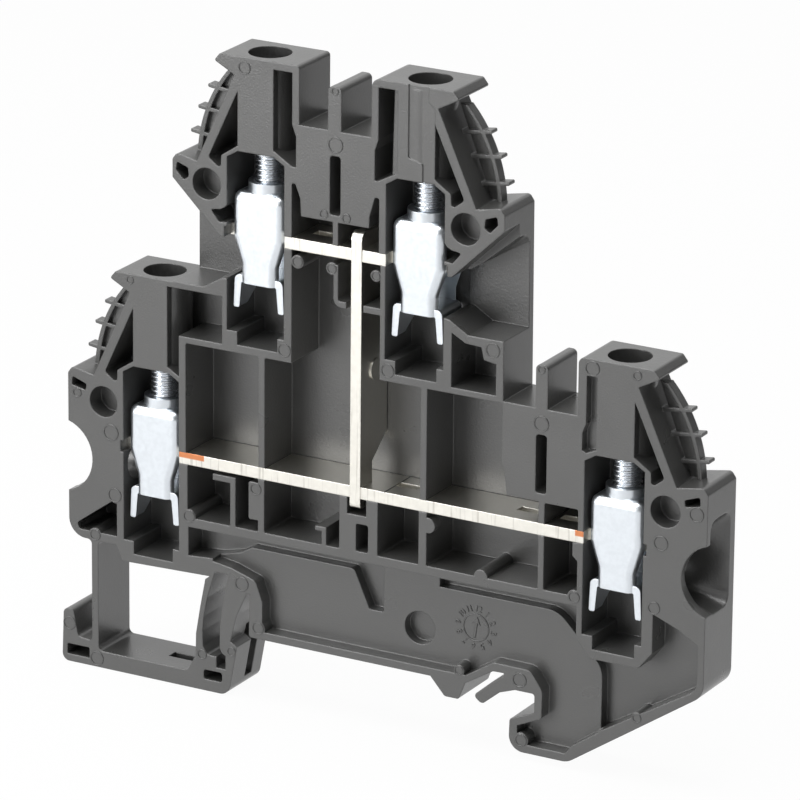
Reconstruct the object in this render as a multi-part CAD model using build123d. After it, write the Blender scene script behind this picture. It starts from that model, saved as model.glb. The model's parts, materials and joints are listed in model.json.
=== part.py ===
from math import acos, sin, tan
import os

from build123d import *

# Double-level feed-through terminal block for 35 mm rail.
# X runs along the block, Z up from the rail's seat, Y through the thickness.
# The origin is the centre of the rail's top face, half way through the block.
# The open side, where the metal parts go in, faces -Y. Depths are counted from it.

# Housing
THICKNESS = 6.1
FRONT = -THICKNESS / 2
BACK_WALL = 0.65
POCKET = THICKNESS - BACK_WALL
RIM = 0.85
PANEL_DEPTH = 1.55
WEB_DEPTH = 2.7
CORE_DEPTH = 3.8
THROUGH = THICKNESS + 2

# Clamp places: axis along X, and the top of each level
UPPER_TOP = 61.1
LOWER_TOP = 36.45
LEVEL_PITCH = UPPER_TOP - LOWER_TOP
AXIS_UPPER_LEFT = -15.07
AXIS_UPPER_RIGHT = 3.05
AXIS_LOWER_LEFT = -27.3
AXIS_LOWER_RIGHT = 25.5

# Clamp chamber, measured from a clamp's axis and the level's top
CHAMBER_HALF = 3.3
CHAMBER_CEILING = -9.8
CHAMBER_SHOULDER = -10.55
CHAMBER_LEDGE = -28.65
CHAMBER_FLOOR = -30.05
COLUMN_HALF = 2.07
CLAMP_DEPTH = 2.85
DRIVER_BORE = 2.2
BORE_BOSS = 2.8
SCREW_SEAT = -7.5
SCREW_HOLE = 1.7
WIRE_CENTRE = -20.85
WIRE_RADIUS = 2.0

# Round blind sockets beside the clamps, for the pegs of an end plate
SOCKET_OUT = 5.63
SOCKET_RADIUS = 1.64
SOCKET_DEPTH = 2.1

# Current bars
BAR_THICK = 1.23
BAR_WIDE = 5.3
BAR_NARROW = 3.0
BAR_FRONT = 0.05
UPPER_BAR_TOP = 43.3
LOWER_BAR_TOP = UPPER_BAR_TOP - LEVEL_PITCH - 0.17
BRIDGE_SLOT_LONG = 2.6
BRIDGE_SLOT_WIDE = 1.2
LINK_LEFT = -4.1
LINK_THICK = 1.18
LINK_BACK = 5.35
LINK_TOP = 45.2
LINK_BOTTOM = 16.1
STAKE_RADIUS = 1.12
STAKE_DEPTH = 2.96
STAKE_HEIGHT = 30.15

# Clamp yokes and screws
YOKE_HALF = 3.0
YOKE_WALL = 0.75
YOKE_DEEP = 5.0
YOKE_SHOULDER = -14.05
YOKE_FLOOR = -22.85
YOKE_FOOT = -26.3
YOKE_NECK_HALF = 2.1
YOKE_WING_HALF = 2.75
YOKE_FOLD = 0.9
YOKE_COLLAR = 2.15
COLLAR_HEIGHT = 0.9
THREAD_RADIUS = 1.5
THREAD_HOLE = 1.54
HEAD_RADIUS = 2.0
HEAD_HEIGHT = 2.2
HEAD_SLOT = 0.6
SCREW_TIP_GAP = 0.3


def corner_face(corners):
    """Closed face in X and Z over corners that may carry a rounding radius."""
    places = [Vector(corner[0], corner[1]) for corner in corners]
    count = len(places)
    starts, ends, arcs = [], [], []
    for index, corner in enumerate(corners):
        here = places[index]
        radius = corner[2] if len(corner) > 2 else 0
        if radius == 0:
            starts.append(here)
            ends.append(here)
            continue
        back = (places[index - 1] - here).normalized()
        ahead = (places[(index + 1) % count] - here).normalized()
        half = acos(max(-1, min(1, back.dot(ahead)))) / 2
        reach = radius / tan(half)
        middle = (back + ahead).normalized()
        centre = here + middle * (radius / sin(half))
        starts.append(here + back * reach)
        ends.append(here + ahead * reach)
        arcs.append(ThreePointArc(starts[-1], centre - middle * radius, ends[-1]))
    for index in range(count):
        following = starts[(index + 1) % count]
        if (following - ends[index]).length > 1e-6:
            arcs.append(Line(ends[index], following))
    return make_face(arcs)


def at_depth(depth):
    """Drawing plane at a depth behind the open side, X to the right and Z up."""
    return Plane(origin=(0, FRONT + depth, 0), x_dir=(1, 0, 0), z_dir=(0, -1, 0))


def plate(corners, near, far):
    """Straight-sided solid over X, Z corners between two depths."""
    return extrude(at_depth(near) * corner_face(corners), amount=near - far)


def block(left, right, low, high, near, far, radius=0):
    """Box between two X, two Z and two depths, its four upright edges rounded."""
    corners = [(left, low, radius), (right, low, radius), (right, high, radius), (left, high, radius)]
    return plate(corners, near, far)


def post(x, z, radius, near, far):
    """Round solid along the thickness."""
    face = at_depth(near) * Pos(x, z) * Circle(radius)
    return extrude(face, amount=near - far)


def upright(x, radius, low, high):
    """Round solid along Z at the clamps' depth."""
    standing = (Align.CENTER, Align.CENTER, Align.MIN)
    return Pos(x, FRONT + CLAMP_DEPTH, low) * Cylinder(radius, high - low, align=standing)


def facing(axis, top, side, corners):
    """Corners given from a clamp's axis and level top, mirrored for left-hand clamps."""
    return [(axis + side * corner[0], top + corner[1], *corner[2:]) for corner in corners]


CLAMPS = {
    "upper_left": (AXIS_UPPER_LEFT, UPPER_TOP, -1, 9.6),
    "upper_right": (AXIS_UPPER_RIGHT, UPPER_TOP, 1, 9.95),
    "lower_left": (AXIS_LOWER_LEFT, LOWER_TOP, -1, 9.85),
    "lower_right": (AXIS_LOWER_RIGHT, LOWER_TOP, 1, 10.2),
}


def shoulder(name):
    """Outer edge of one clamp tower, from its top lip down to the ear with the socket."""
    axis, top, side, reach = CLAMPS[name]
    corners = [(4.1, 0, 0.3), (4.75, -0.8, 0.2), (2.45, -2.0), (6.78, -11.55), (reach - 0.5, -11.05, 0.5),
               (reach, -11.75, 0.3)]
    edge = facing(axis, top, side, corners)
    return edge if side > 0 else edge[::-1]


def silhouette():
    """Outline of the whole moulding seen from its open side."""
    left_upper = CLAMPS["upper_left"]
    edge = [(left_upper[0] - left_upper[3], LOWER_TOP)]
    edge += shoulder("upper_left")
    edge += [(-10.1, UPPER_TOP, 0.4), (-10.1, 55.06), (-6.84, 55.06), (-6.84, 59.57, 0.5),
             (-5.33, 59.57, 0.5), (-5.33, 55.06), (-1.92, 55.06), (-1.92, UPPER_TOP, 0.9)]
    edge += shoulder("upper_right")
    edge += [(13.1, 30.4), (16.69, 30.4), (16.69, 34.9, 0.5), (18.02, 34.9, 0.5), (18.02, 30.4), (21.35, 30.4),
             (21.35, LOWER_TOP, 0.7)]
    edge += shoulder("lower_right")
    edge += [(35.7, 3.9, 2.0), (20.9, -6.08, 2.0), (14.25, -6.08, 1.6), (14.35, -2.75, 0.4), (17.1, -1.6, 0.3),
             (17.1, 0.4, 0.3), (14.9, 0.4, 0.6), (13.2, -0.2), (11.2, -1.85, 0.5), (10.2, -1.1, 0.4),
             (12.2, 0.65), (14.0, 1.95, 0.15), (12.4, 1.9, 0.4), (9.3, 0), (8.55, -1.85, 0.3), (6.95, -1.85, 0.4),
             (5.3, 0), (-15.75, 0, 0.3), (-15.65, 4.65, 0.15), (-16.0, 4.65, 0.1), (-17.2, 2.0), (-17.95, -0.9),
             (-17.15, -1.4), (-18.15, -6.84, 1.2), (-38.1, -6.84, 0.8), (-37.9, -1.04, 0.6), (-36.75, -1.04, 0.5),
             (-36.2, -3.9, 0.6), (-34.45, -4.1, 0.4), (-34.45, 7.05, 0.5), (-37.15, 7.05, 2.0)]
    edge += shoulder("lower_left")
    return edge


def wire_funnel(name):
    """Tapered wire entry from the side face in to the clamp chamber."""
    axis, top, side, reach = CLAMPS[name]
    mouth_low, mouth_high = top - 24.57, top - 14.6

    def section(out, z, shape):
        """One cross-section of the funnel, at a distance from the clamp's axis."""
        centre = (axis + side * out, FRONT + CLAMP_DEPTH, z)
        return Plane(origin=centre, x_dir=(0, side, 0), z_dir=(side, 0, 0)) * shape

    throat = section(CHAMBER_HALF + 1.6, top + WIRE_CENTRE, Circle(WIRE_RADIUS))
    mouth = section(reach + 0.1, (mouth_low + mouth_high) / 2, RectangleRounded(4.4, mouth_high - mouth_low, 1.2))
    bore = extrude(section(CHAMBER_HALF - 0.2, top + WIRE_CENTRE, Circle(WIRE_RADIUS)), amount=1.8)
    return [bore, loft([throat.face(), mouth.face()])]


def clamp_cuts(name):
    """Everything cut out of the moulding at one clamp place."""
    axis, top, side, reach = CLAMPS[name]
    chamber = [(-CHAMBER_HALF, CHAMBER_LEDGE), (-CHAMBER_HALF, CHAMBER_SHOULDER), (-COLUMN_HALF, CHAMBER_CEILING),
               (COLUMN_HALF, CHAMBER_CEILING), (CHAMBER_HALF, CHAMBER_SHOULDER), (CHAMBER_HALF, CHAMBER_LEDGE)]
    cuts = [plate([(axis + x, top + z) for x, z in chamber], -1, POCKET)]
    cuts.append(block(axis - 2.1, axis + 2.55, top + CHAMBER_FLOOR, top + CHAMBER_LEDGE + 1, -1, POCKET))
    cuts.append(block(axis + 2.5, axis + CHAMBER_HALF, top + CHAMBER_FLOOR, top + CHAMBER_LEDGE + 1, 1.0, POCKET))
    pocket = [(COLUMN_HALF, -3.6), (5.45, -10.9, 0.4), (4.0, -12.0, 0.3), (3.95, -10.5, 0.2), (COLUMN_HALF, -9.25)]
    cuts.append(plate(facing(axis, top, side, pocket), -1, 5.0))
    cuts += wire_funnel(name)
    socket_z = top - 13.75 if top == UPPER_TOP else top - 14.2
    cuts.append(post(axis + side * SOCKET_OUT, socket_z, SOCKET_RADIUS, -1, SOCKET_DEPTH))
    if top == UPPER_TOP:
        window = [(9.1, -11.95, 0.2), (7.8, -12.4, 0.2), (7.7, -13.3, 0.3), (8.3, -13.75, 0.2), (9.2, -12.8, 0.2)]
        relief = [(3.2, -15.4), (3.6, -15.9), (4.1, -16.15), (5.2, -16.3, 0.15), (4.2, -17.5, 0.3), (3.2, -17.4)]
        cuts.append(plate(facing(axis, top, side, relief), -1, 3.4))
    else:
        window = [(9.35, -12.05, 0.2), (7.65, -12.65, 0.2), (7.75, -13.35, 0.2), (9.4, -13.0, 0.2)]
    cuts.append(plate(facing(axis, top, side, window), -1, 3.6))
    return cuts


def marker_holder(name):
    """Bowed rib with rungs and pegs outside the sloped wall of one tower."""
    axis, top, side, reach = CLAMPS[name]
    near, far = 2.6, 3.7
    bow = 0.5

    def curve(offset):
        ends = facing(axis, top, side, [(4.3 + offset, -2.0), (6.75 + offset, -5.6), (8.2 + offset, -11.3)])
        return ThreePointArc(*ends)
    outer, inner = curve(0), curve(-bow)
    loop = make_face([outer, Line(outer @ 1, inner @ 1), inner, Line(inner @ 0, outer @ 0)])
    holder = extrude(at_depth(near) * loop, amount=near - far)
    for low, start, end in ((-4.8, 3.6, 7.0), (-7.15, 4.6, 8.15), (-9.75, 5.8, 9.0)):
        rung = facing(axis, top, side, [(start, low - 0.2), (end, low + 0.25, 0.15), (end, low + 0.65, 0.15),
                                        (start, low + 0.2)])
        holder += plate(rung, near, far)
    return holder


def housing():
    """One-piece moulding with its two levels, rail foot and wire entries."""
    body = plate(silhouette(), 0, THICKNESS)
    for name in CLAMPS:
        body += marker_holder(name)
    cuts = []
    for name in CLAMPS:
        cuts += clamp_cuts(name)

    # Open fronts of the two upper wire entries, below the ears
    for name in ("upper_left", "upper_right"):
        axis, top, side, reach = CLAMPS[name]
        opening = [(reach + 1, -12.0), (9.8, -13.45), (4.15, -18.9), (3.0, -19.0), (3.0, -23.2), (3.94, -23.33),
                   (6.0, -24.57), (reach + 1, -24.57)]
        cuts.append(plate(facing(axis, top, side, opening), -1, 3.0))
        floor = [(reach + 1, -15.0), (4.5, -18.9), (3.0, -19.0), (3.0, -23.2), (3.94, -23.33), (6.0, -24.57),
                 (reach + 1, -24.57)]
        cuts.append(plate(facing(axis, top, side, floor), 2.0, POCKET - 0.2))

    # Round bites in the front wall of the two lower wire entries
    for centre in (-38.2, 36.9):
        cuts.append(post(centre, 15.75, 3.9, -1, 3.0))

    # Centre of the upper level: space over and under the upper bar
    cuts.append(block(-10.92, -1.0, UPPER_BAR_TOP - BAR_THICK, 45.7, -1, POCKET))
    cuts.append(block(-11.9, 0.2, UPPER_BAR_TOP - BAR_THICK, UPPER_BAR_TOP, -1, POCKET))
    notch_far = CLAMP_DEPTH + BAR_NARROW / 2
    for left, right, bar_top in ((-18.7, 6.7, UPPER_BAR_TOP), (-30.95, 29.15, LOWER_BAR_TOP)):
        cuts.append(block(left, right, bar_top - BAR_THICK, bar_top, -1, notch_far))
    cuts.append(block(-6.59, -5.37, 46.4, 52.5, -1, 5.0, 0.35))
    cuts.append(plate([(-10.92, 44), (-10.92, 48.95, 0.2), (-10.5, 48.95, 0.2), (-9.94, 47.5), (-9.84, 45.7),
                       (-9.84, 44)], -1, 5.0))
    cuts.append(plate([(-1.0, 44), (-1.0, 48.95, 0.2), (-1.5, 48.95, 0.2), (-2.1, 46.9), (-2.14, 45.7),
                       (-2.14, 44)], -1, 5.0))
    cuts.append(block(-10.9, -0.8, 18.5, 42.1, -1, POCKET))

    # Pockets in the towers
    cuts.append(plate([(-13.05, 51.95), (-10.9, 50.65, 0.3), (-10.45, 50.65), (-10.45, 53.8), (-10.9, 55.0),
                       (-10.9, 60.3), (-13.05, 60.3)], -1, 5.0))
    cuts.append(plate([(1.0, 51.83), (-1.2, 50.7, 0.3), (-1.54, 50.7), (-1.54, 53.8), (-1.16, 54.9),
                       (-1.16, 60.26), (1.0, 60.26)], -1, 1.0))
    cuts.append(plate([(-0.1, 51.3), (-1.2, 50.7, 0.3), (-1.54, 50.7), (-1.54, 53.8), (-1.16, 54.9),
                       (-1.16, 60.26), (0.1, 60.26)], -1, 4.6))
    cuts.append(plate([(23.45, 27.2), (22.3, 26.7), (21.88, 26.9), (21.88, 28.7), (22.27, 29.7),
                       (22.27, 34.66), (23.45, 34.66)], -1, 1.0))
    cuts.append(plate([(-25.35, 27.3), (-23.98, 26.5), (-23.98, 30.84), (-18.92, 30.84), (-18.92, 35.84),
                       (-25.35, 35.84)], -1, 5.0))
    cuts.append(plate([(7.27, 30.84), (12.27, 30.84), (12.27, 34.08), (10.9, 34.3), (10.6, 35.55), (8.84, 35.65),
                       (7.27, 36.5)], -1, 5.0))

    # Fine step down the face of the upper right column
    cuts.append(plate([(2.19, 62), (2.19, 53.6, 0.35), (3.81, 53.2, 0.35), (3.81, 51.2), (5.2, 51.2),
                       (5.2, 58.9), (4.4, 59.6), (4.4, 62)], -1, 0.12))

    # Main pockets of the lower level, above the lower bar
    lower_bar_low = LOWER_BAR_TOP - BAR_THICK
    cuts.append(block(-23.2, -14.67, LOWER_BAR_TOP, 30.2, -1, POCKET, 0.2))
    cuts.append(block(-13.98, -0.1, LOWER_BAR_TOP, 30.2, -1, POCKET, 0.2))
    cuts.append(block(-0.2, 3.9, LOWER_BAR_TOP, 30.2, -1, POCKET, 0.2))
    cuts.append(plate([(4.59, LOWER_BAR_TOP), (17.2, LOWER_BAR_TOP), (17.2, 20.8), (13.65, 20.8), (13.35, 23.2),
                       (13.06, 24.0), (13.06, 30.2), (4.59, 30.2)], -1, POCKET))
    cuts.append(block(17.86, 21.6, LOWER_BAR_TOP, 20.7, -1, POCKET, 0.2))
    cuts.append(block(16.8, 18.02, 21.6, 27.7, -1, 5.0, 0.35))
    cuts.append(block(-24.1, 22.6, lower_bar_low, LOWER_BAR_TOP + 0.02, -1, POCKET))

    # Row of pockets under the lower bar
    row_low, row_high = 11.6, lower_bar_low + 0.02
    for left, right in ((-23.0, -17.95), (-17.36, -14.7), (-14.0, -7.3), (-6.8, -5.27), (-0.9, 3.8), (4.67, 17.24),
                        (17.86, 21.6)):
        cuts.append(block(left, right, row_low, row_high, -1, POCKET, 0.2))
    cuts.append(block(-18.2, -17.2, 16.84, row_high, -1, POCKET))
    cuts.append(block(-7.5, -6.6, 13.5, row_high, -1, POCKET))
    cuts.append(block(-4.4, -2.2, 15.5, row_high, -1, POCKET))
    cuts.append(block(-3.37, -1.96, 11.67, 14.6, -1, 5.0, 0.25))

    # Lower body: raised panel, and the deeper web round it
    panel = [(-14.2, RIM), (-14.2, 4.1), (-15.0, 6.2, 0.8), (-17.9, 7.1), (-20.0, 7.4), (-20.0, 10.6), (21.6, 10.6),
             (21.6, 7.4), (23.1, 5.4), (24.3, 5.4), (24.3, -2.2), (21.4, -4.2), (20.6, -5.2), (15.2, -5.2),
             (15.2, -3.3), (17.9, -2.1, 0.4), (17.95, 0.9, 1.2), (16.6, 2.8, 1.2), (12.4, 2.85, 0.6),
             (9.3, RIM)]
    cuts.append(plate(panel, -1, PANEL_DEPTH))
    channel = [(-22.9, 7.5), (-22.9, 10.6), (-0.96, 10.6), (-0.96, 5.1, 0.2), (-2.6, 5.1, 0.3), (-4.4, 9.1, 0.6),
               (-16.3, 9.1), (-17.7, 8.3), (-20.0, 7.7)]
    cuts.append(plate(channel, -1, WEB_DEPTH))
    bend = [(5.41, 10.55), (5.41, 9.05), (18.8, 9.05, 3.0), (23.8, 4.0, 2.5), (23.8, -2.4), (35.0, 4.4, 1.6),
            (35.0, 9.0), (32.8, 10.3), (30.0, 11.4), (30.0, 7.25), (28.5, 5.4), (22.9, 5.4), (21.6, 7.4),
            (21.6, 10.55)]
    cuts.append(plate(bend, -1, WEB_DEPTH))
    cuts.append(post(3.22, 4.22, 1.74, 0, PANEL_DEPTH + 1.1))

    # Cores in the closed side that keep the walls of the lower body even
    for core in ([(-13.0, 1.0), (-1.4, 1.0), (-1.4, 10.3), (-13.0, 10.3)],
                 [(-0.4, 1.0), (8.4, 1.0), (10.6, 2.6), (10.6, 10.3), (-0.4, 10.3)],
                 [(11.6, 3.8), (16.8, 3.8), (19.1, 1.6), (19.1, -2.4), (16.4, -3.7), (16.4, -5.0), (20.4, -5.0),
                  (22.8, -3.6), (22.8, 4.6), (21.2, 6.2), (21.2, 10.3), (11.6, 10.3)],
                 [(24.0, -1.8), (34.6, 4.9), (34.6, 9.2), (30.8, 9.2), (30.8, 4.6), (24.0, 4.6)]):
        cuts.append(plate([(x, z, 0.5) for x, z in core], CORE_DEPTH, THROUGH))

    # Triangular pocket under the lower left clamp
    cuts.append(plate([(-36.2, 8.6, 0.3), (-32.0, 11.65), (-31.4, 11.45), (-31.4, 7.95), (-35.9, 7.95, 0.3)], -1,
                      POCKET))

    # Spring foot: window, slot of the spring arms and small openings
    cuts.append(plate([(-33.7, -5.02, 0.6), (-23.0, -5.02, 0.6), (-22.05, -3.2), (-22.0, -0.8), (-21.5, 2.2),
                       (-20.9, 5.3), (-20.4, 5.7), (-30.75, 5.4), (-31.44, 7.0), (-33.7, 7.0, 0.5)], -1, THROUGH))
    cuts.append(plate([(-19.75, 6.3, 0.3), (-18.15, 6.3, 0.3), (-18.85, 3.0), (-19.15, 0.6), (-19.2, -1.9),
                       (-18.9, -2.4), (-18.5, -2.6), (-18.5, -4.1), (-19.6, -4.1), (-19.6, -2.9),
                       (-20.6, -2.9, 0.5), (-21.2, -2.0), (-21.25, -0.4), (-21.1, 1.2), (-20.7, 3.3)], -1, THROUGH))
    cuts.append(block(-21.1, -18.9, -5.6, -4.55, -1, 5.0, 0.3))
    cuts.append(block(-37.5, -34.8, -6.06, -4.9, -1, 5.0, 0.15))
    cuts.append(block(-26.7, -21.6, -6.0, -4.9, 2.4, 3.7))
    cuts.append(block(-18.9, -16.5, -5.6, 0.2, 2.8, 4.2))
    for cut in cuts:
        body -= cut

    # Ribs and hooks that hold the bars
    for rib in ([(-6.1, 41.3), (-5.6, 41.3), (-5.6, 37.6, 0.3), (-4.65, 37.6), (-4.65, 36.95), (-6.1, 36.95, 0.9)],
                [(-20.0, 16.84), (-17.36, 16.84), (-17.36, 16.2), (-20.0, 16.2)],
                [(-8.06, 13.5), (-7.0, 13.5), (-7.0, 13.05), (-8.06, 13.05)],
                [(-15.8, 16.8, 0.2), (-14.5, 16.8), (-14.5, 12.8), (-15.8, 12.8, 0.2)],
                [(-2.7, 37.6), (-0.6, 37.6), (-0.6, 36.9), (-2.7, 36.9)],
                [(-6.22, 45.8), (-5.63, 45.8), (-5.63, UPPER_BAR_TOP), (-6.22, UPPER_BAR_TOP)]):
        body += plate(rib, 0, POCKET + 0.1)
    body += plate([(21.04, 17.2), (21.8, 17.2), (21.8, 15.0), (21.5, 15.4), (21.04, 15.8)], 0, 1.2)
    for x, z, radius, far in ((-6.31, 40.85, 0.65, POCKET + 0.1), (-10.24, 40.9, 0.7, POCKET + 0.1),
                              (-1.31, 40.9, 0.6, 1.2), (-22.8, 11.75, 0.75, POCKET + 0.1),
                              (10.86, 11.63, 0.75, POCKET + 0.1), (4.82, 15.9, 0.8, 1.2),
                              (11.88, 35.3, 0.9, POCKET), (-34.03, 7.63, 0.75, POCKET + 0.1),
                              (-14.68, 1.16, 0.8, 3), (8.55, 1.24, 0.6, 3), (28.5, 0.16, 0.6, 3),
                              (15.65, -4.8, 0.8, 3), (21.3, 11.5, 0.75, 3)):
        body += post(x, z, radius, 0, far)

    # Driver bores and screw holes, each in its own boss
    for axis, top, side, reach in CLAMPS.values():
        body += upright(axis, BORE_BOSS, top + CHAMBER_CEILING, top - 0.5)
        body -= upright(axis, DRIVER_BORE, top + SCREW_SEAT, top + 1)
        body -= upright(axis, SCREW_HOLE, top + CHAMBER_CEILING - 0.5, top + SCREW_SEAT + 0.5)
    return body


def bar(left, right, ends, top, slots):
    """Flat current bar, wide between the chambers, narrow through the yokes, punched for bridges."""
    narrow_near = CLAMP_DEPTH - BAR_NARROW / 2
    body = block(left, right, top - BAR_THICK, top, BAR_FRONT, BAR_FRONT + BAR_WIDE)
    body += block(*ends, top - BAR_THICK, top, narrow_near, narrow_near + BAR_NARROW)
    for middle in slots:
        body -= block(middle - BRIDGE_SLOT_LONG / 2, middle + BRIDGE_SLOT_LONG / 2, top - 2, top + 1,
                      CLAMP_DEPTH - BRIDGE_SLOT_WIDE / 2, CLAMP_DEPTH + BRIDGE_SLOT_WIDE / 2)
    return body


def link():
    """Upright strip that joins the two levels, notched where the bars pass, with a round stake."""
    right = LINK_LEFT + LINK_THICK
    near, far = FRONT, FRONT + LINK_BACK
    side = [(near, LINK_BOTTOM, 0.5), (near, LINK_TOP, 0.9), (far, LINK_TOP - 0.7, 0.4), (far, 23.0),
            (FRONT + 2.4, 20.6), (FRONT + 2.4, LINK_BOTTOM, 0.3)]
    face = Plane(origin=(LINK_LEFT, 0, 0), x_dir=(0, 1, 0), z_dir=(1, 0, 0)) * corner_face(side)
    strip = extrude(face, amount=LINK_THICK)
    for top in (UPPER_BAR_TOP, LOWER_BAR_TOP):
        strip -= block(LINK_LEFT - 1, right + 1, top - BAR_THICK, top, BAR_FRONT + 1.0, THROUGH)
    stake = Pos(right, FRONT + STAKE_DEPTH, STAKE_HEIGHT) * Rot(0, 90, 0) * Cylinder(STAKE_RADIUS, 0.3)
    return strip + stake


def yoke(name):
    """Stamped clamp frame with a threaded collar, open for the bar and the wire."""
    axis, top, side, reach = CLAMPS[name]
    near, far = CLAMP_DEPTH - YOKE_DEEP / 2, CLAMP_DEPTH + YOKE_DEEP / 2
    shell = [(-YOKE_NECK_HALF, YOKE_FLOOR - YOKE_WALL), (-YOKE_NECK_HALF, -21.6, 0.9), (-YOKE_HALF, -18.9, 1.2),
             (-YOKE_HALF, YOKE_SHOULDER, 1.0), (YOKE_HALF, YOKE_SHOULDER, 1.0), (YOKE_HALF, -18.9, 1.2),
             (YOKE_NECK_HALF, -21.6, 0.9), (YOKE_NECK_HALF, YOKE_FLOOR - YOKE_WALL)]
    frame = plate([(axis + corner[0], top + corner[1], *corner[2:]) for corner in shell], near, far)
    fold = frame.edges().filter_by(Axis.X).group_by(Axis.Z)[-1]
    frame = fillet(fold, YOKE_FOLD)
    inside = [(near + YOKE_WALL, YOKE_FLOOR), (near + YOKE_WALL, YOKE_SHOULDER - YOKE_WALL, 0.3),
              (far - YOKE_WALL, YOKE_SHOULDER - YOKE_WALL, 0.3), (far - YOKE_WALL, YOKE_FLOOR)]
    window = corner_face([(FRONT + corner[0], top + corner[1], *corner[2:]) for corner in inside])
    frame -= extrude(Plane(origin=(axis - 5, 0, 0), x_dir=(0, 1, 0), z_dir=(1, 0, 0)) * window, amount=10)
    leg_low, leg_high = top + YOKE_FOOT, top + YOKE_FLOOR
    for hand in (-1, 1):
        wing = [(hand * 1.5, YOKE_FLOOR), (hand * YOKE_WING_HALF, YOKE_FLOOR, 0.6),
                (hand * (YOKE_WING_HALF + 0.15), YOKE_FOOT, 0.2), (hand * (YOKE_WING_HALF - 0.5), YOKE_FOOT, 0.2),
                (hand * (YOKE_WING_HALF - YOKE_WALL), YOKE_FLOOR - YOKE_WALL, 0.2),
                (hand * 1.5, YOKE_FLOOR - YOKE_WALL)]
        leg = plate([(axis + corner[0], top + corner[1], *corner[2:]) for corner in wing], near + 0.3, far - 0.7)
        heel = Plane(origin=(axis - 5, 0, 0), x_dir=(0, 1, 0), z_dir=(1, 0, 0))
        heel *= corner_face([(FRONT + far + 1, leg_low - 1), (FRONT + near + 1.8, leg_low - 1),
                             (FRONT + near + 1.8, leg_low), (FRONT + far - 0.7, leg_high - 1.4, 0.4),
                             (FRONT + far + 1, leg_high - 1.4)])
        frame += leg - extrude(heel, amount=10)
    frame += upright(axis, YOKE_COLLAR, top + YOKE_SHOULDER - 0.3, top + YOKE_SHOULDER + COLLAR_HEIGHT)
    return frame - upright(axis, THREAD_HOLE, top + YOKE_SHOULDER - 2, top + YOKE_SHOULDER + 3)


def screw(name):
    """Clamp screw: slotted cheese head over a straight shank."""
    axis, top, side, reach = CLAMPS[name]
    bar_top = UPPER_BAR_TOP if top == UPPER_TOP else LOWER_BAR_TOP
    seat = top + SCREW_SEAT + 0.05
    body = upright(axis, THREAD_RADIUS, bar_top + SCREW_TIP_GAP, seat + 0.1)
    body += upright(axis, HEAD_RADIUS, seat, seat + HEAD_HEIGHT)
    slot = Pos(axis, FRONT + CLAMP_DEPTH, seat + HEAD_HEIGHT) * Box(6, HEAD_SLOT, 2 * 1.1)
    return body - slot


def save(shape, node):
    """Write one node's solid."""
    export_step(shape, "parts/" + node + ".step")


os.makedirs("parts", exist_ok=True)
upper_bar = bar(-11.75, -0.25, (-18.7, 6.7), UPPER_BAR_TOP, (-8.5,))
lower_bar = bar(-24.0, 22.2, (-30.95, 29.15), LOWER_BAR_TOP, (1.0, 14.9, 19.7))
link_strip = link()
save(housing(), "housing")
save(upper_bar - link_strip, "upper_bus_bar")
save(lower_bar - link_strip, "lower_bus_bar")
save(link_strip, "link_strip")
for place in CLAMPS:
    save(yoke(place), "clamp_yoke_" + place)
    save(screw(place), "clamp_screw_" + place)
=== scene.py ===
"""Looks of the double-level terminal block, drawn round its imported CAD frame."""

import json
import logging
import math
from dataclasses import dataclass, field
from enum import Enum

import bpy
from mathutils import Matrix, Vector
from mathutils.bvhtree import BVHTree


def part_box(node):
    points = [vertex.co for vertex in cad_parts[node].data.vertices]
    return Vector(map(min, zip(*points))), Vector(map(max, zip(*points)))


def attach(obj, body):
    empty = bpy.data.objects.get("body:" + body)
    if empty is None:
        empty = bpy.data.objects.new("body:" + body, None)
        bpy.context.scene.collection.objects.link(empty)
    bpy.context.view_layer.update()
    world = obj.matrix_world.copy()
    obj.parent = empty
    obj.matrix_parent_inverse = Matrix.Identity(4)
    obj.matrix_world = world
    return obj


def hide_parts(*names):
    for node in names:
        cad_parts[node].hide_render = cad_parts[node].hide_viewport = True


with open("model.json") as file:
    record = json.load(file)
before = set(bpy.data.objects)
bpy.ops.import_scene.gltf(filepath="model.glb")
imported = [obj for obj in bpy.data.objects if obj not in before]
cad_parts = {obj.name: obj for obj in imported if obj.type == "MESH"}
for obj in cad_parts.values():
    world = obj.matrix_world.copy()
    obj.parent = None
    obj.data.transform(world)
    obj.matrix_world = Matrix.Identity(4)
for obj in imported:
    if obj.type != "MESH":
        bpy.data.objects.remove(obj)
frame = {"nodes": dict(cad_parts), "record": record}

MM = 0.001
DECIMALS = 3
MONTHS = 12
LOG = logging.getLogger("terminal_block")
Pair = tuple[float, float]
Point = tuple[float, float, float]


class Slot(Enum):
    """Material slots named in the record."""

    HOUSING = "housing_plastic"
    BAR = "tinned_copper"
    YOKE = "zinc_yoke"
    SCREW = "zinc_screw"


Finishes = dict[Slot, bpy.types.Material]


def node_box(node: str) -> tuple[Vector, Vector]:
    """Find the box round a CAD node at rest.

    Args:
        node: name of the node.

    Returns:
        Its lowest and its highest corner, in millimetres.
    """
    low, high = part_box(node)
    return low / MM, high / MM


# The frame's corners are single floats: what is worked out from them is rounded to a micrometre
FRONT = round(node_box("housing")[0].y, DECIMALS)


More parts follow.
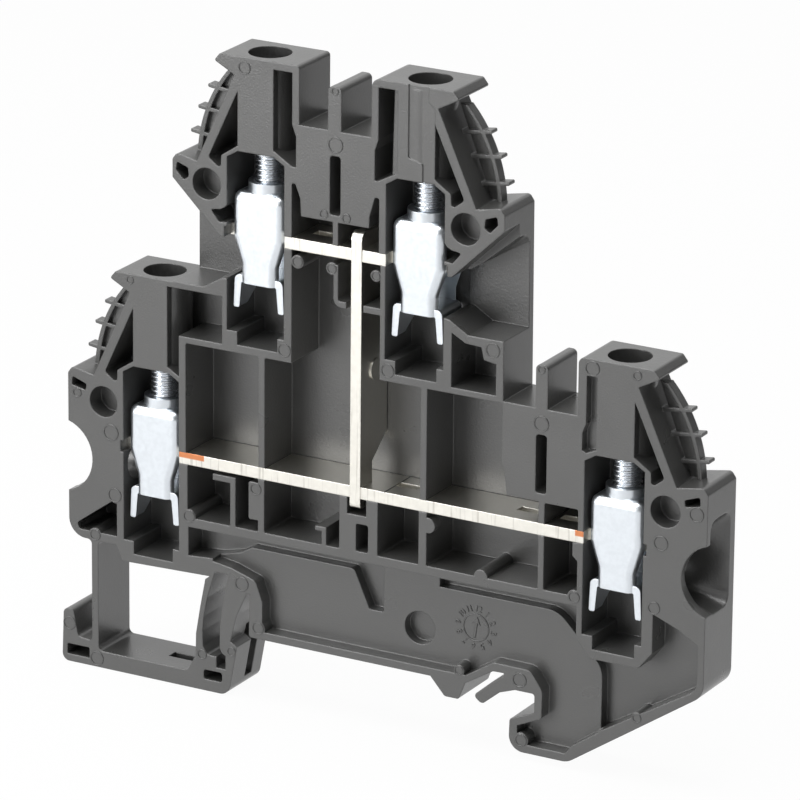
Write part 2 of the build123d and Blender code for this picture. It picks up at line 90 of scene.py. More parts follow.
@dataclass(frozen=True)
class Tower:
    """One clamp tower, found by its yoke.

    Attributes:
        name: ending of its nodes' names.
        side: 1 when its wire comes from the right, -1 from the left.
        height: from the yoke's foot to the tower's top, in millimetres.
    """

    name: str
    side: int
    height: float = 26.3

    @property
    def axis(self) -> float:
        """X of its screw, in millimetres."""
        low, high = node_box("clamp_yoke_" + self.name)
        return round((low.x + high.x) / 2, DECIMALS)

    @property
    def top(self) -> float:
        """Z of its top face, in millimetres."""
        return round(node_box("clamp_yoke_" + self.name)[0].z + self.height, DECIMALS)


TOWERS = (Tower("upper_left", -1), Tower("upper_right", 1), Tower("lower_left", -1), Tower("lower_right", 1))


class Wire:
    """A shader socket that can be used in sums and products."""

    def __init__(self, tree: bpy.types.NodeTree, socket: bpy.types.NodeSocket) -> None:
        """Wrap a socket.

        Args:
            tree: node tree that it belongs to.
            socket: an output socket.
        """
        self.tree = tree
        self.socket = socket

    def _math(self, operation: str, first: "Wire | float", second: "Wire | float") -> "Wire":
        """Put a Math node on two values.

        Args:
            operation: Blender's name of the operation.
            first: left value.
            second: right value.

        Returns:
            The node's result.
        """
        return add_node(self.tree, "ShaderNodeMath", {"operation": operation}, {0: first, 1: second})

    def __add__(self, other: "Wire | float") -> "Wire":
        """Wire plus value."""
        return self._math("ADD", self, other)

    def __radd__(self, other: float) -> "Wire":
        """Number plus wire."""
        return self._math("ADD", other, self)

    def __sub__(self, other: "Wire | float") -> "Wire":
        """Wire less value."""
        return self._math("SUBTRACT", self, other)

    def __rsub__(self, other: float) -> "Wire":
        """Number less wire."""
        return self._math("SUBTRACT", other, self)

    def __mul__(self, other: "Wire | float") -> "Wire":
        """Wire times value."""
        return self._math("MULTIPLY", self, other)

    def __rmul__(self, other: float) -> "Wire":
        """Number times wire."""
        return self._math("MULTIPLY", other, self)

    def clamp(self, low: float, high: float) -> "Wire":
        """Hold the value between two limits.

        Args:
            low: lower limit.
            high: upper limit.

        Returns:
            The held value.
        """
        return self._math("MINIMUM", self._math("MAXIMUM", self, low), high)

    def between(self, low: float, high: float) -> "Wire":
        """Map a stretch of the value smoothly to 0..1.

        Args:
            low: value that gives 0.
            high: value that gives 1.

        Returns:
            The mapped value.
        """
        return add_node(self.tree, "ShaderNodeMapRange", {"interpolation_type": "SMOOTHSTEP"},
                        {"Value": self, "From Min": low, "From Max": high})


def add_node(tree: bpy.types.NodeTree, kind: str, settings: dict[str, object] | None = None,
             inputs: dict[int | str, object] | None = None, output: int | str = 0) -> Wire:
    """Add any shader node.

    Args:
        tree: node tree that takes the node.
        kind: Blender's type name of the node.
        settings: attributes to set.
        inputs: sockets by name or number, each with a value or a wire.
        output: which output to give back.

    Returns:
        The chosen output.
    """
    node = tree.nodes.new(kind)
    for name, value in (settings or {}).items():
        setattr(node, name, value)
    for key, value in (inputs or {}).items():
        if isinstance(value, Wire):
            tree.links.new(value.socket, node.inputs[key])
        else:
            node.inputs[key].default_value = value
    return Wire(tree, node.outputs[output])


def add_noise(tree: bpy.types.NodeTree, place: Wire, scale: float, detail: float) -> Wire:
    """Add soft noise.

    Args:
        tree: node tree that takes the node.
        place: point that it is read at.
        scale: its scale per metre.
        detail: layers of finer noise in it.

    Returns:
        The noise, about 0.5 on average.
    """
    return add_node(tree, "ShaderNodeTexNoise", None, {"Vector": place, "Scale": scale, "Detail": detail})


def blend_colours(tree: bpy.types.NodeTree, factor: Wire, first: "Wire | tuple",
                  second: "Wire | tuple") -> Wire:
    """Mix two colours.

    Args:
        tree: node tree that takes the node.
        factor: share of the second colour.
        first: colour at 0.
        second: colour at 1.

    Returns:
        The mixed colour.
    """
    # A Mix node names its sockets alike for every kind of data: 6, 7 and 2 are those for colours
    return add_node(tree, "ShaderNodeMix", {"data_type": "RGBA"}, {0: factor, 6: first, 7: second}, 2)


@dataclass(frozen=True)
class Finish:
    """A surface finish.

    Attributes:
        slot: record slot it belongs to.
        colour: linear base colour.
        metallic: 0 for plastic, 1 for metal.
        roughness: mean roughness.
        edge: radius of the rounded look of the edges, in metres.
        samples: rays that find an edge.
        relief: height of the texture, in metres.
        relief_strength: how strongly the texture turns the surface.
    """

    slot: Slot
    colour: Point
    metallic: float
    roughness: float
    edge: float = 0.00018
    samples: int = 6
    relief: float = 0.00003
    relief_strength: float = 0.6

    def material(self) -> bpy.types.Material:
        """Build the material.

        Returns:
            A new Blender material.
        """
        material = bpy.data.materials.new(self.slot.value)
        material.use_nodes = True
        tree = material.node_tree
        shader = tree.nodes["Principled BSDF"]
        shader.inputs["Base Color"].default_value = (*self.colour, 1)
        shader.inputs["Metallic"].default_value = self.metallic
        shader.inputs["Roughness"].default_value = self.roughness
        self.detail(tree, shader)
        return material

    def detail(self, tree: bpy.types.NodeTree, shader: bpy.types.Node) -> None:
        """Add the finish's own variation.

        Args:
            tree: node tree of the material.
            shader: its principled shader.
        """

    def _surface(self, tree: bpy.types.NodeTree, shader: bpy.types.Node, height: Wire, rough: Wire) -> None:
        """Give the shader its texture, rounded edges and roughness.

        Args:
            tree: node tree of the material.
            shader: its principled shader.
            height: the texture, 0 to 1.
            rough: change in roughness.
        """
        edge = add_node(tree, "ShaderNodeBevel", {"samples": self.samples}, {"Radius": self.edge})
        bump = add_node(tree, "ShaderNodeBump", None,
                        {"Strength": self.relief_strength, "Distance": self.relief,
                         "Height": height, "Normal": edge})
        tree.links.new(bump.socket, shader.inputs["Normal"])
        tree.links.new((self.roughness + rough).socket, shader.inputs["Roughness"])


@dataclass(frozen=True)
class Plastic(Finish):
    """Satin moulded plastic with a fine spark-eroded texture.

    Attributes:
        grain: scale of the texture per metre.
        cloud: scale of the slow change in roughness per metre.
        cloud_spread: spread of the roughness.
        gloss: strength of the mirror part, 0.5 for plain glass.
    """

    grain: float = 5200.0
    cloud: float = 220.0
    cloud_spread: float = 0.14
    gloss: float = 1.0

    def detail(self, tree: bpy.types.NodeTree, shader: bpy.types.Node) -> None:
        """Fine grain in the normal and a slow change in roughness."""
        shader.inputs["Specular IOR Level"].default_value = self.gloss
        place = add_node(tree, "ShaderNodeTexCoord", output="Object")
        grain = add_noise(tree, place, self.grain, detail=2.0)
        cloud = add_noise(tree, place, self.cloud, detail=3.0)
        self._surface(tree, shader, grain, (cloud - 0.5) * self.cloud_spread)


@dataclass(frozen=True)
class Plated(Finish):
    """Plated metal with soft mottling.

    Attributes:
        mottle: spread of the colour.
        mottle_scale: its scale per metre.
        mottle_range: noise that gives the dark and the light end.
        mottle_rough: spread of the roughness.
    """

    edge: float = 0.0001
    samples: int = 4
    relief: float = 0.000006
    relief_strength: float = 0.15
    mottle: float = 0.03
    mottle_scale: float = 2500.0
    mottle_range: Pair = (0.35, 0.65)
    mottle_rough: float = 0.05

    def detail(self, tree: bpy.types.NodeTree, shader: bpy.types.Node) -> None:
        """Mottled brightness and roughness."""
        place = add_node(tree, "ShaderNodeTexCoord", output="Object")
        noise = add_noise(tree, place, self.mottle_scale, detail=4.0)
        spread = noise.between(*self.mottle_range)
        dark = tuple(c * (1 - self.mottle) for c in self.colour)
        colour = self.stain(tree, place, blend_colours(tree, spread, (*dark, 1), (*self.colour, 1)))
        tree.links.new(colour.socket, shader.inputs["Base Color"])
        self._surface(tree, shader, noise, (spread - 0.5) * self.mottle_rough)

    def stain(self, tree: bpy.types.NodeTree, place: Wire, colour: Wire) -> Wire:
        """Change the colour at chosen places.

        Args:
            tree: node tree of the material.
            place: point in the part's frame, in metres.
            colour: colour so far.

        Returns:
            The changed colour.
        """
        return colour


@dataclass(frozen=True)
class Sheared(Plated):
    """Tinned strip: its cut front edge has score lines, and bare copper where it was sheared.

    Attributes:
        copper: linear colour of bare copper.
        zones: X range, in millimetres, of each copper zone on the lower bar.
        zone_low: height of the zones' lower edge, in millimetres.
        zone_high: height where the zones start to fade, in millimetres.
        side_fade: width of their soft edges, in millimetres.
        top_fade: height of their soft upper edge, in millimetres.
        skin: depth where the front edge starts to end, and where it has ended, in millimetres.
        score: linear colour of the score lines.
        score_scale: their scale per metre.
        score_stretch: their scale along the height, as a share.
        score_range: noise that gives no line and a full line.
        score_strength: share of their colour in a full line.
    """

    copper: Point = (0.62, 0.24, 0.11)
    zones: tuple[Pair, ...] = ((-24.2, -21.0), (21.2, 22.4))
    zone_low: float = 17.85
    zone_high: float = 18.6
    side_fade: float = 0.12
    top_fade: float = 0.2
    skin: Pair = (0.06, 0.09)
    score: Point = (0.30, 0.28, 0.24)
    score_scale: float = 2600.0
    score_stretch: float = 0.05
    score_range: Pair = (0.56, 0.7)
    score_strength: float = 0.4

    @staticmethod
    def _within(value: Wire, low: float, high: float, first: float, last: float) -> Wire:
        """1 inside a range, fading to 0 at its ends.

        Args:
            value: what is tested, in metres.
            low: start of the range, in millimetres.
            high: end of the range, in millimetres.
            first: length of the fade after the start.
            last: length of the fade before the end.

        Returns:
            The mask.
        """
        start = value.between(low * MM, (low + first) * MM)
        return start * (1 - value.between((high - last) * MM, high * MM))

    def stain(self, tree: bpy.types.NodeTree, place: Wire, colour: Wire) -> Wire:
        """Add the score lines and the copper zones."""
        x, y, z = (add_node(tree, "ShaderNodeSeparateXYZ", None, {0: place}, axis) for axis in "XYZ")
        front = 1 - y.between(*((FRONT + depth) * MM for depth in self.skin))
        along = add_node(tree, "ShaderNodeCombineXYZ", None, {"X": x, "Y": 0.0, "Z": z * self.score_stretch})
        lines = add_noise(tree, along, self.score_scale, detail=2.0).between(*self.score_range)
        colour = blend_colours(tree, lines * front * self.score_strength, colour, (*self.score, 1))
        inside = [self._within(x, *ends, self.side_fade, self.side_fade) for ends in self.zones]
        height = self._within(z, self.zone_low, self.zone_high + self.top_fade, self.side_fade, self.top_fade)
        zone = sum(inside[1:], inside[0])
        return blend_colours(tree, zone * height * front, colour, (*self.copper, 1))


PLASTIC = Plastic(Slot.HOUSING, (0.068, 0.068, 0.066), 0.0, 0.30)
TIN = Sheared(Slot.BAR, (0.78, 0.76, 0.70), 1.0, 0.34)
ZINC = Plated(Slot.YOKE, (0.75, 0.79, 0.83), 1.0, 0.30)
BRIGHT = Plated(Slot.SCREW, (0.78, 0.81, 0.85), 1.0, 0.24)


@dataclass
class Photo:
    """The camera's place, as fitted to the photograph.

    Attributes:
        place: camera centre, in millimetres.
        yaw: turn to the right of the open side, in degrees.
        pitch: downward tilt, in degrees.
        roll: turn about the view line, in degrees.
        focal: focal length, in pixels.
        centre: picture point on the view line, in pixels.
        width: width and height of the picture, in pixels.
        sensor: width of the camera's sensor, in millimetres.
        reach: nearest and farthest distance that it sees, in metres.
    """

    place: Point = (291.7, -525.2, 234.6)
    yaw: float = 29.08
    pitch: float = 18.44
    roll: float = 0.54
    focal: float = 6392.3
    centre: Pair = (398.6, 333.6)
    width: int = 800
    sensor: float = 36.0
    reach: Pair = (0.01, 20.0)

    def build(self) -> None:
        """Add the camera and make it the scene's."""
        yaw, pitch, roll = (math.radians(a) for a in (self.yaw, self.pitch, self.roll))
        ahead = Vector((-math.sin(yaw) * math.cos(pitch), math.cos(yaw) * math.cos(pitch), -math.sin(pitch)))
        right = Vector((math.cos(yaw), math.sin(yaw), 0))
        up = right.cross(ahead)
        side = right * math.cos(roll) + up * math.sin(roll)
        top = up * math.cos(roll) - right * math.sin(roll)
        camera = bpy.data.cameras.new("photo_camera")
        camera.sensor_width = self.sensor
        camera.lens = self.focal * self.sensor / self.width
        camera.shift_x = (self.width / 2 - self.centre[0]) / self.width
        camera.shift_y = (self.centre[1] - self.width / 2) / self.width
        camera.clip_start, camera.clip_end = self.reach
        held = bpy.data.objects.new("photo_camera", camera)
        turn = Matrix((side, top, -ahead)).transposed().to_4x4()
        held.matrix_world = Matrix.Translation(Vector(self.place) * MM) @ turn
        bpy.context.scene.collection.objects.link(held)
        bpy.context.scene.camera = held


@dataclass(frozen=True)
class Lamp:
    """One rectangular soft light.

    Attributes:
        name: object name.
        place: centre, in millimetres.
        aim: point it faces, in millimetres.
        size: width and height, in millimetres.
        power: watts.
    """

    name: str
    place: Point
    aim: Point
    size: Pair
    power: float

    def build(self) -> None:
        """Add the light."""
        light = bpy.data.lights.new(self.name, "AREA")
        light.shape = "RECTANGLE"
        light.size, light.size_y = (side * MM for side in self.size)
        light.energy = self.power
        held = bpy.data.objects.new(self.name, light)
        held.location = Vector(self.place) * MM
        held.rotation_euler = (Vector(self.aim) - Vector(self.place)).to_track_quat("-Z", "Y").to_euler()
        bpy.context.scene.collection.objects.link(held)


LAMPS = (
    Lamp("top_light", (-60, -60, 420), (0, 0, 25), (420, 420), 2.15),
    Lamp("front_light", (-250, -440, 60), (0, 0, 30), (300, 300), 1.7),
)


@dataclass
class Studio:
    """Pale floor and white surround.

    Attributes:
        floor: height of the floor, in millimetres.
        floor_width: width of the floor, in metres.
        floor_grey: linear grey of the floor.
        floor_rough: roughness of the floor.
        floor_glow: share of plain white where the floor is seen.
        surround: brightness of the surround on the object.
        shade: share of the white that mirror rays miss on the right.
        shade_floor: X where the shade starts on the floor, and where it is full, in metres.
        shade_sky: the same in the surround, as the X of a direction.
    """

    floor: float = -6.9
    floor_width: float = 6.0
    floor_grey: float = 0.85
    floor_rough: float = 0.9
    floor_glow: float = 0.96
    surround: float = 0.12
    shade: float = 0.88
    shade_floor: Pair = (0.04, 0.08)
    shade_sky: Pair = (0.1, 0.45)

    def _seen(self, tree: bpy.types.NodeTree, place: Wire, soft: Pair) -> Wire:
        """1 where the camera or a mirror ray sees white, less for mirror rays on the shaded right.

        Args:
            tree: node tree of the surround or the floor.
            place: point or direction whose X tells left from right.
            soft: X where the shade starts, and where it is full.

        Returns:
            The strength of the white background.
        """
        camera, glossy, clear = (add_node(tree, "ShaderNodeLightPath", output=kind)
                                 for kind in ("Is Camera Ray", "Is Glossy Ray", "Is Transmission Ray"))
        x = add_node(tree, "ShaderNodeSeparateXYZ", None, {0: place}, "X")
        lit = 1 - x.between(*soft) * self.shade
        return (camera + (glossy + clear) * lit).clamp(0.0, 1.0)

    def _white(self) -> bpy.types.Material:
        """Floor finish: pale, and nearly plain white where it is seen."""
        material = bpy.data.materials.new("pale_floor")
        material.use_nodes = True
        tree = material.node_tree
        shader = tree.nodes["Principled BSDF"]
        shader.inputs["Base Color"].default_value = (*[self.floor_grey] * 3, 1)
        shader.inputs["Roughness"].default_value = self.floor_rough
        place = add_node(tree, "ShaderNodeTexCoord", output="Object")
        glow = add_node(tree, "ShaderNodeEmission", None, {"Color": (1, 1, 1, 1), "Strength": 1.0})
        share = self._seen(tree, place, self.shade_floor) * self.floor_glow
        mixed = add_node(tree, "ShaderNodeMixShader", None,
                         {0: share, 1: Wire(tree, shader.outputs["BSDF"]), 2: glow})
        tree.links.new(mixed.socket, tree.nodes["Material Output"].inputs["Surface"])
        return material

    def build(self) -> None:
        """Add the floor and the surround."""
        bpy.ops.mesh.primitive_plane_add(size=self.floor_width, location=(0, 0, self.floor * MM))
        floor = bpy.context.object
        floor.name = "studio_floor"
        floor.data.materials.append(self._white())
        world = bpy.data.worlds.new("surround")
        world.use_nodes = True
        tree = world.node_tree
        background = tree.nodes["Background"]
        background.inputs["Color"].default_value = (1, 1, 1, 1)
        way = add_node(tree, "ShaderNodeTexCoord", output="Generated")
        level = self._seen(tree, way, self.shade_sky) * (1 - self.surround) + self.surround
        tree.links.new(level.socket, background.inputs["Strength"])
        bpy.context.scene.world = world


@dataclass
class Shape:
    """A piece while it is being made.

    Attributes:
        points: its points, in millimetres.
        faces: its faces, each as the numbers of its points.
    """

    points: list[Point] = field(default_factory=list)
    faces: list[tuple[int, ...]] = field(default_factory=list)

    def add(self, points: list[Point], faces: list[tuple[int, ...]]) -> None:
        """Add a part.

        Args:
            points: its points.
            faces: its faces, counted from its own first point.
        """
        start = len(self.points)
        self.points += points
        self.faces += [tuple(start + index for index in face) for face in faces]

    def stack(self, rings: list[list[Point]]) -> None:
        """Add a closed solid through rings of equal count, from the first to the last.

        Args:
            rings: loops of points, each anticlockwise seen from beyond the last.
        """
        count = len(rings[0])
        faces = [tuple(range(count))[::-1], tuple(range(count * (len(rings) - 1), count * len(rings)))]
        for level in range(len(rings) - 1):
            for index in range(count):
                first, second = level * count + index, level * count + (index + 1) % count
                faces.append((first, second, second + count, first + count))
        self.add([point for ring in rings for point in ring], faces)

    def loop(self, rings: list[list[Point]]) -> None:
        """Add a closed band through rings of equal count, from the last back to the first.

        Args:
            rings: loops of points.
        """
        count, levels = len(rings[0]), len(rings)
        faces = []
        for level in range(levels):
            for index in range(count):
                first, second = level * count + index, level * count + (index + 1) % count
                up = ((level + 1) % levels - level) * count
                faces.append((first, second, second + up, first + up))
        self.add([point for ring in rings for point in ring], faces)

    def finish(self, name: str, slot: Slot, body: str, finishes: Finishes,
               smooth: float | None = None) -> bpy.types.Object:
        """Make the Blender object.

        Args:
            name: piece name.
            slot: material slot of the record.
            body: CAD body it rides on.
            finishes: material of each slot.
            smooth: angle, in degrees, under which neighbouring faces shade as one.

        Returns:
            The new object.
        """
        mesh = bpy.data.meshes.new(name)
        mesh.from_pydata([tuple(value * MM for value in point) for point in self.points], [], self.faces)
        mesh.validate()
        mesh.materials.append(finishes[slot])
        piece = bpy.data.objects.new(name, mesh)
        bpy.context.scene.collection.objects.link(piece)
        if smooth is not None:
            mesh.shade_smooth()
            mesh.set_sharp_from_angle(angle=math.radians(smooth))
        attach(piece, body)
        LOG.info("built %s", name)
        return piece


def circle(radius: float, count: int) -> list[Pair]:
    """Points evenly round a circle.

    Args:
        radius: its radius.
        count: number of points.

    Returns:
        The points, anticlockwise from the right.
    """
    turns = [2 * math.pi * index / count for index in range(count)]
    return [(radius * math.cos(turn), radius * math.sin(turn)) for turn in turns]


@dataclass
class ClampScrew:
    """Slotted cheese-head screw with an M3 thread, in millimetres.

    Attributes:
        tower: tower it belongs to.
        pitch: rise of the thread in a turn.
        outer: radius over the crests.
        root: radius at the roots.
        flank: steepness of the flanks, over 1 for flat crests.
        lead: height over which the thread starts at the tip.
        runout: height over which it ends under the head.
        tip: how much thinner the tip is than the roots.
        head_radius: radius of the head.
        head_height: height of the head.
        rim: width of the head's bevels.
        slot_width: width of the driver slot.
        slot_depth: depth of the driver slot.
        around: points round the shank.
        rows: rows of points in one pitch.
        head_around: points round the head.
        smooth: angle, in degrees, under which its faces shade as one.
    """

    tower: Tower
    pitch: float = 0.5
    outer: float = 1.5
    root: float = 1.2
    flank: float = 1.25
    lead: float = 0.4
    runout: float = 0.3
    tip: float = 0.15
    head_radius: float = 2.0
    head_height: float = 2.2
    rim: float = 0.12
    slot_width: float = 0.6
    slot_depth: float = 1.1
    around: int = 36
    rows: int = 8
    head_around: int = 48
    smooth: float = 40.0

    def _radius(self, height: float, turn: float, length: float) -> float:
        """Radius of the thread's surface.

        Args:
            height: height over the tip.
            turn: angle round the axis, in turns.
            length: length of the shank.

        Returns:
            The radius there.
        """
        phase = (height / self.pitch - turn) % 1
        ridge = min(1.0, self.flank * (1 - abs(2 * phase - 1)))
        start = min(1.0, height / self.lead)
        end = min(1.0, (length - height) / self.runout)
        return self.root - self.tip * (1 - start) + (self.outer - self.root) * ridge * start * end

    def _shank(self, shape: Shape, foot: Vector, length: float) -> None:
        """Add the threaded shank.

        Args:
            shape: shape that takes it.
            foot: lowest point of the axis.
            length: its length.
        """
        count = round(length / self.pitch * self.rows)
        unit = circle(1.0, self.around)
        rings = []
        for level in range(count + 1):
            height = length * level / count
            radii = [self._radius(height, index / self.around, length) for index in range(self.around)]
            rings.append([(foot.x + radius * x, foot.y + radius * y, foot.z + height)
                          for radius, (x, y) in zip(radii, unit)])
        shape.stack(rings)

    def _head(self, shape: Shape, crown: Vector) -> None:
        """Add the head: a round base with the two halves beside the slot on it.

        Args:
            shape: shape that takes it.
            crown: highest point of the axis.
        """
        seat, floor = crown.z - self.head_height, crown.z - self.slot_depth
        narrow = self.head_radius - self.rim
        base = [(narrow, seat), (self.head_radius, seat + self.rim), (self.head_radius, floor)]
        shape.stack([[(crown.x + x, crown.y + y, z) for x, y in circle(radius, self.head_around)]
                     for radius, z in base])
        halves = [(self.head_radius, floor), (self.head_radius, crown.z - self.rim), (narrow, crown.z)]
        steps = self.head_around // 2
        for hand in (1, -1):
            rings = []
            for radius, z in halves:
                start = math.asin(self.slot_width / 2 / radius)
                turns = [start + (math.pi - 2 * start) * index / steps for index in range(steps + 1)]
                rings.append([(crown.x + hand * radius * math.cos(turn),
                               crown.y + hand * radius * math.sin(turn), z) for turn in turns])
            shape.stack(rings)

    def build(self, finishes: Finishes) -> None:
        """Make the screw in place of its plain solid.

        Args:
            finishes: material of each slot.
        """
        node = "clamp_screw_" + self.tower.name
        low, high = node_box(node)
        centre = (low + high) / 2
        foot, crown = Vector((*centre.xy, low.z)), Vector((*centre.xy, high.z))
        shape = Shape()
        self._shank(shape, foot, crown.z - self.head_height - foot.z)
        self._head(shape, crown)
        piece = shape.finish("threaded_screw_" + self.tower.name, Slot.SCREW, "screw_" + self.tower.name,
                             finishes, self.smooth)
        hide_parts(node)


@dataclass
class HolderWeb:
    """Web behind the marker holder of one tower, in millimetres from its axis and top.

    Attributes:
        tower: tower it belongs to.
        near: depth of its front face.
        far: depth of its back face.
        wall: ends of the tower's sloped wall.
        rim: three points of the holder's bowed rim.
        steps: stretches along the rim.
    """

    tower: Tower
    near: float = 3.2
    far: float = 3.7
    wall: tuple[Pair, ...] = ((3.15, -2.1), (6.75, -11.3))
    rim: tuple[Pair, ...] = ((4.1, -2.1), (6.5, -5.65), (7.95, -11.3))
    steps: int = 12

    def _rim_point(self, share: float) -> Pair:
        """Point on the rim.

        Args:
            share: 0 at the top, 1 at the foot.

        Returns:
            Distance from the axis, and height from the tower's top.
        """
        start, middle, end = (Vector(point) for point in self.rim)
        bend = 2 * middle - (start + end) / 2
        point = start * (1 - share) ** 2 + bend * (2 * share * (1 - share)) + end * share ** 2
        return point.x, point.y

    def build(self, finishes: Finishes) -> None:
        """Make the web.

        Args:
            finishes: material of each slot.
        """
        tower = self.tower
        outline = [*self.wall[::-1], *(self._rim_point(step / self.steps) for step in range(self.steps + 1))]
        if tower.side < 0:
            outline.reverse()
        shape = Shape()
        shape.stack([[(tower.axis + tower.side * out, FRONT + depth, tower.top + up) for out, up in outline]
                     for depth in (self.near, self.far)])
        shape.finish("marker_holder_web_" + tower.name, Slot.HOUSING, "block", finishes)


class Skin:
    """The moulding's surface, felt from the open side.

    Attributes:
        start: Y that it is felt from, in millimetres.
    """

    start: float = -10.0

    def __init__(self) -> None:
        """Take the moulding's faces from the frame."""
        moulding = frame["nodes"]["housing"].data
        self._tree = BVHTree.FromPolygons([vertex.co for vertex in moulding.vertices],
                                          [tuple(polygon.vertices) for polygon in moulding.polygons])

    def depth(self, x: float, z: float) -> float | None:
        """Find the surface at a place.

        Args:
            x: place, in millimetres.
            z: place, in millimetres.

        Returns:
            Its Y in millimetres, or None where the view passes through.
        """
        hit = self._tree.ray_cast(Vector((x, self.start, z)) * MM, Vector((0, 1, 0)))[0]
        return None if hit is None else hit.y / MM


@dataclass
class MouldMarks:
    """Round marks that the mould's ejector pins left on the open side, in millimetres.

    Attributes:
        places: X, Z and radius of each mark.
        width: width of the raised rim.
        height: height of the raised rim.
        shoulder: height of the rim's edges, as a share.
        sink: how far the rim goes into the surface.
        around: points round a mark.
        shares: radii tried in turn, as shares, where the surface isn't flat.
        flat: greatest unevenness under a mark.
        probes: points round a mark where the surface is felt.
        smooth: angle, in degrees, under which its faces shade as one.
    """

    places: tuple[Point, ...] = ()
    width: float = 0.14
    height: float = 0.07
    shoulder: float = 0.6
    sink: float = 0.02
    around: int = 28
    shares: tuple[float, ...] = (1, 0.85, 0.7)
    flat: float = 0.02
    probes: int = 12
    smooth: float = 40.0

    def _ring(self, shape: Shape, x: float, z: float, y: float, radius: float) -> None:
        """Add one raised rim.

        Args:
            shape: shape that takes it.
            x: centre.
            z: centre.
            y: place of the surface that it stands on.
            radius: outer radius.
        """
        inner, edge = radius - self.width, y - self.height * self.shoulder
        profile = ((radius, y + self.sink), (radius, edge), (radius - self.width / 2, y - self.height),
                   (inner, edge), (inner, y + self.sink))
        shape.loop([[(x + a, deep, z + b) for a, b in circle(out, self.around)] for out, deep in profile])

    def _seat(self, skin: Skin, x: float, z: float, wanted: float) -> Pair | None:
        """Find a flat place for a mark.

        Args:
            skin: the moulding's surface.
            x: centre.
            z: centre.
            wanted: its radius.

        Returns:
            The surface's Y and the radius that fits, or None where none does.
        """
        for radius in (wanted * share for share in self.shares):
            depths = [skin.depth(x + a, z + b) for a, b in [(0.0, 0.0), *circle(radius, self.probes)]]
            if None not in depths and max(depths) - min(depths) < self.flat:
                return depths[0], radius
        return None

    def build(self, finishes: Finishes, skin: Skin) -> None:
        """Make the marks where the moulding is flat under them.

        Args:
            finishes: material of each slot.
            skin: the moulding's surface.
        """
        shape = Shape()
        for x, z, wanted in self.places:
            seat = self._seat(skin, x, z, wanted)
            if seat is None:
                LOG.info("no flat place for the mark at %.1f %.1f", x, z)
            else:
                self._ring(shape, x, z, *seat)
        shape.finish("ejector_marks", Slot.HOUSING, "block", finishes, self.smooth)


@dataclass
class DateClock(MouldMarks):
    """Mould's month dial: a ring, the numbers 1 to 12 and an arrow, in millimetres.

    Attributes:
        centre: X and Z of the dial.
        inner: radius of the ring.
        outer: radius over the numbers.
        lean: turn of the 12 from straight up, clockwise, in degrees.
        number: height of the numbers.
        spacing: distance of a number's digits, as a share.
        arrow: corners of the arrow, across and along it.
    """

    width: float = 0.16
    around: int = 64
    centre: Pair = (9.59, 5.5)
    inner: float = 1.5
    outer: float = 2.65
    lean: float = 8.0
    number: float = 0.95
    spacing: float = 0.85
    arrow: tuple[Pair, ...] = ((0.12, -1.1), (0.12, 0.5), (0.45, 0.35), (0, 1.15), (-0.45, 0.35),
                               (-0.12, 0.5), (-0.12, -1.1))

    def _directions(self, month: int) -> tuple[Vector, Vector]:
        """Directions at a month of the dial.

        Args:
            month: the month, 0 or 12 at the top.

        Returns:
            The ways across and outward, as X and Z.
        """
        turn = math.radians(360 / MONTHS * month + self.lean)
        return Vector((math.cos(turn), -math.sin(turn))), Vector((math.sin(turn), math.cos(turn)))

    def _number(self, shape: Shape, y: float, month: int) -> None:
        """Add one number of the dial.

        Args:
            shape: shape that takes it.
            y: place of the surface that it stands on.
            month: the number.
        """
        text = bpy.data.curves.new("month", "FONT")
        text.body = str(month)
        text.size = self.number
        text.space_character = self.spacing
        text.extrude = self.height
        text.align_x, text.align_y = "CENTER", "CENTER"
        held = bpy.data.objects.new("month", text)
        bpy.context.scene.collection.objects.link(held)
        bpy.context.view_layer.update()
        mesh = bpy.data.meshes.new_from_object(held)
        across, outward = self._directions(month)
        middle = (self.inner + self.outer - self.width) / 2
        points = []
        for vertex in mesh.vertices:
            flat = outward * (middle + vertex.co.y) + across * vertex.co.x
            points.append((self.centre[0] + flat.x, y - vertex.co.z, self.centre[1] + flat.y))
        shape.add(points, [tuple(polygon.vertices) for polygon in mesh.polygons])
        bpy.data.objects.remove(held)

    def build(self, finishes: Finishes, skin: Skin) -> None:
        """Make the dial.

        Args:
            finishes: material of each slot.
            skin: the moulding's surface.
        """
        y = skin.depth(*self.centre)
        shape = Shape()
        self._ring(shape, *self.centre, y, self.inner)
        for month in range(1, MONTHS + 1):
            self._number(shape, y, month)
        across, outward = self._directions(0)
        flat = [Vector(self.centre) + across * a + outward * b for a, b in self.arrow]
        shape.stack([[(point.x, deep, point.y) for point in flat]
                     for deep in (y + self.sink, y - self.height)])
        shape.finish("mould_date_clock", Slot.HOUSING, "block", finishes)


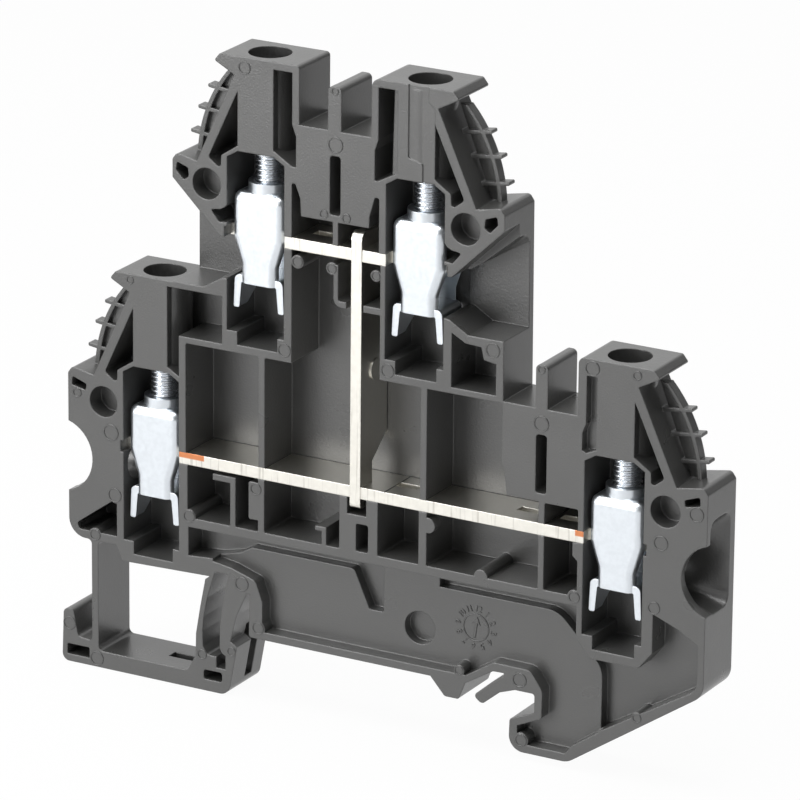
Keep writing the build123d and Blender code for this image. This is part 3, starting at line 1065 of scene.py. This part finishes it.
MARKS = MouldMarks((
    # Upper level, from its top down to the pockets
    (-16.35, 60.0, 0.7), (-6.04, 59.12, 0.5), (-5.96, 53.63, 0.85), (-7.25, 46.34, 0.5),
    (-4.69, 46.3, 0.5), (-10.24, 40.9, 0.7), (-6.31, 40.85, 0.65), (-1.31, 40.9, 0.6),
    (-11.7, 31.4, 0.75), (0.1, 31.3, 0.75),
    # Right of the lower level
    (11.88, 35.45, 0.8), (17.3, 34.4, 0.5), (17.37, 28.83, 0.85), (22.86, 35.5, 0.8),
    (27.76, 35.6, 0.5), (34.5, 22.56, 0.8), (30.7, 18.9, 0.8), (30.1, 12.06, 0.8),
    # Lower body and rail hook
    (28.5, 0.16, 0.6), (15.65, -4.8, 0.8), (15.4, 1.57, 0.8), (8.55, 1.24, 0.6),
    (21.3, 11.5, 0.75), (-14.97, 16.1, 0.65), (-22.8, 11.75, 0.8),
    # Left of the lower level
    (-29.7, 35.8, 0.45), (-36.08, 22.7, 0.75), (-32.06, 19.08, 0.9), (-31.64, 12.37, 0.8),
    (-34.03, 7.63, 0.75),
    # Sprung foot
    (-16.6, 5.6, 0.8), (-14.68, 1.16, 0.8), (-21.28, -2.96, 0.8), (-17.8, -2.0, 0.75),
    (-37.2, -2.63, 0.75), (-33.9, -5.9, 0.8),
))


def paint(finishes: Finishes) -> None:
    """Give every CAD node its finish.

    Args:
        finishes: material of each slot.
    """
    slots = {part["node"]: part["material_slot"] for part in frame["record"]["subparts"]}
    for name, node in frame["nodes"].items():
        node.data.materials.clear()
        node.data.materials.append(finishes[Slot(slots[name])])
        LOG.info("painted %s", name)


def main() -> None:
    """Build the whole scene."""
    logging.basicConfig(level=logging.INFO, format="%(message)s")
    scene = bpy.context.scene
    scene.view_settings.view_transform = "Standard"
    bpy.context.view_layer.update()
    finishes = {finish.slot: finish.material() for finish in (PLASTIC, TIN, ZINC, BRIGHT)}
    paint(finishes)
    for tower in TOWERS:
        ClampScrew(tower).build(finishes)
        HolderWeb(tower).build(finishes)
    skin = Skin()
    MARKS.build(finishes, skin)
    DateClock().build(finishes, skin)
    Studio().build()
    for lamp in LAMPS:
        lamp.build()
    Photo().build()


if __name__ == "__main__":
    main()
